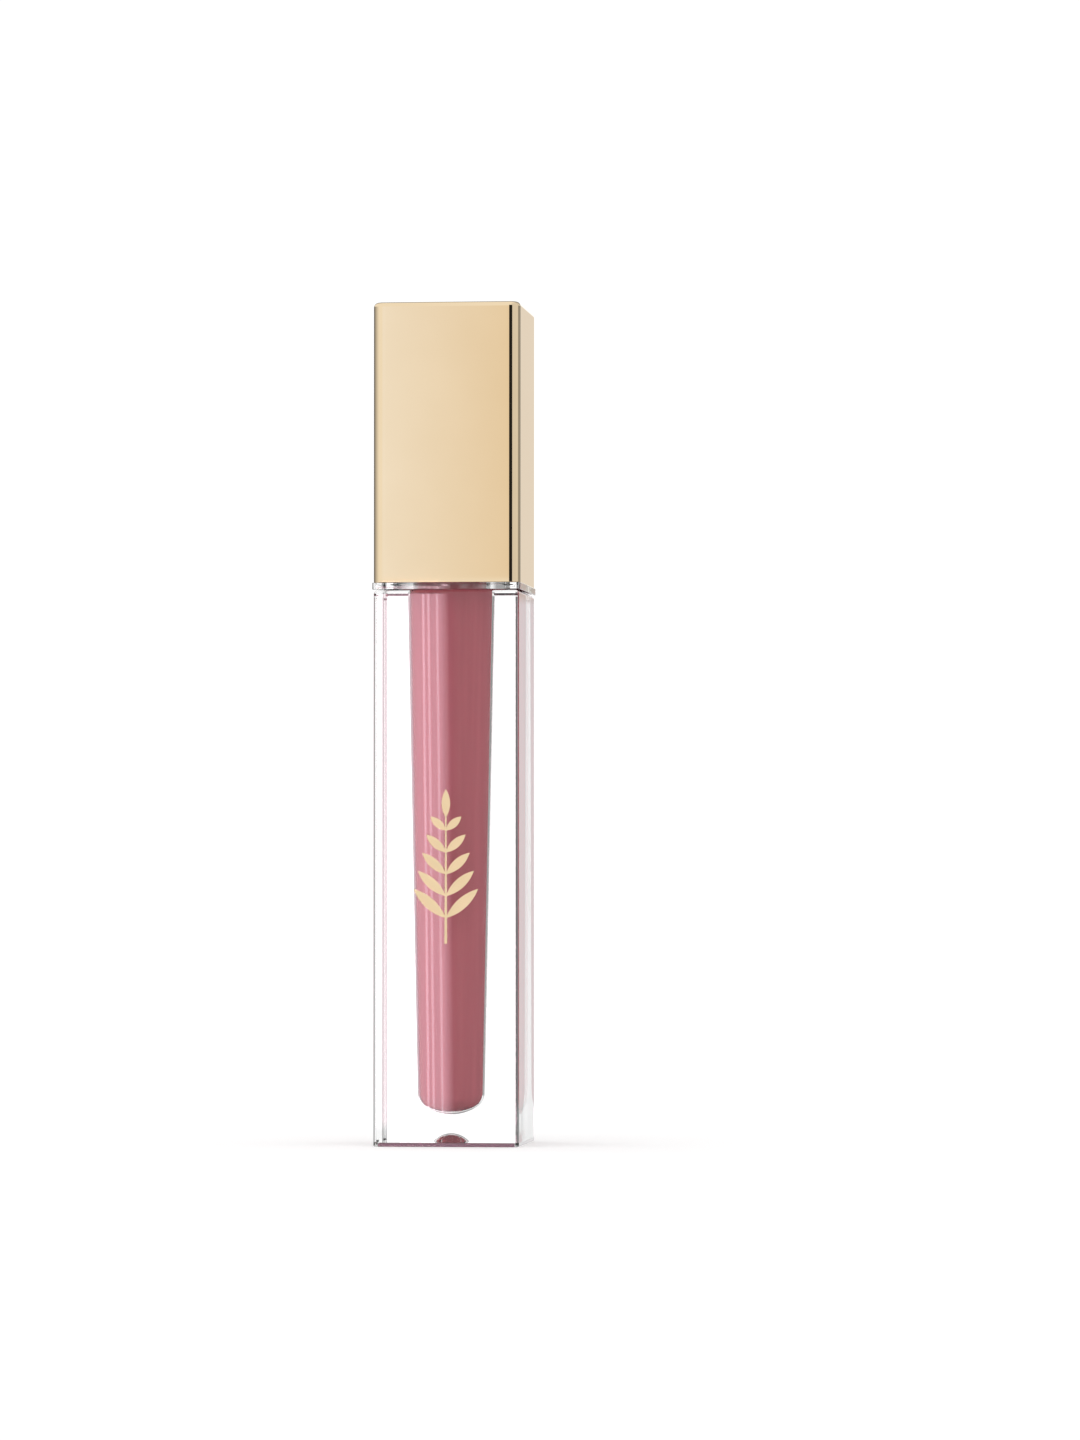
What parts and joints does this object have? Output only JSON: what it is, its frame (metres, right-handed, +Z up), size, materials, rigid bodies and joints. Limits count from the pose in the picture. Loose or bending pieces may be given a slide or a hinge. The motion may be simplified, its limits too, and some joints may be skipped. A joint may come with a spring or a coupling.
{
  "type": "lip gloss tube",
  "caption": "Square clear lip gloss tube with a tall gold screw cap that carries a flocked applicator wand through a wiper.",
  "frame": {"origin": "middle of the base that the closed tube stands on", "axes": "+Z up through the cap along the tube's long axis, -Y towards the front with the foil ornament, +X to the right of the front"},
  "size_m": [0.0188, 0.0188, 0.1063],
  "materials": {
    "clear_bottle": "polished clear thick-wall plastic",
    "gloss": "viscous rose pink cream gloss",
    "wiper_plastic": "soft milky plastic",
    "label_film": "thick mauve insert with no lettering, set in the base recess",
    "gold_foil": "hot-stamped pale gold foil",
    "seal_foam": "white foamed liner",
    "clear_stem": "polished clear plastic",
    "core_plastic": "moulded natural plastic",
    "flock": "short fibres wet with gloss",
    "clear_cap": "clear moulded plastic",
    "gold_shell": "vacuum metallised champagne gold plastic"
  },
  "bodies": {
    "tube": {"bottle": "clear_bottle", "gloss_fill": "gloss", "wiper": "wiper_plastic", "shade_label": "label_film", "foil_sprig": "gold_foil"},
    "seal": {"seal_washer": "seal_foam"},
    "wand": {"wand_stem": "clear_stem", "applicator_core": "core_plastic", "applicator_flock": "flock"},
    "cap": {"inner_cap": "clear_cap", "cap_shell": "gold_shell"}
  },
  "joints": [
    {"name": "wand_withdraw", "type": "slide", "parent": "tube", "child": "seal", "axis": [0, 0, 1], "range_m": [0, 0.08], "deforming": ["applicator_flock"]},
    {"name": "thread_rise", "type": "slide", "parent": "seal", "child": "wand", "axis": [0, 0, 1], "range_m": [0, 0.0045]},
    {"name": "cap_unscrew", "type": "hinge", "parent": "wand", "child": "cap", "pos_m": [0, 0, 0.0709], "axis": [0, 0, 1], "range_deg": [0, 540]}
  ],
  "couplings": [
    {"joint": "thread_rise", "follows": "cap_unscrew", "m_per_rad": 0.00047746}
  ]
}
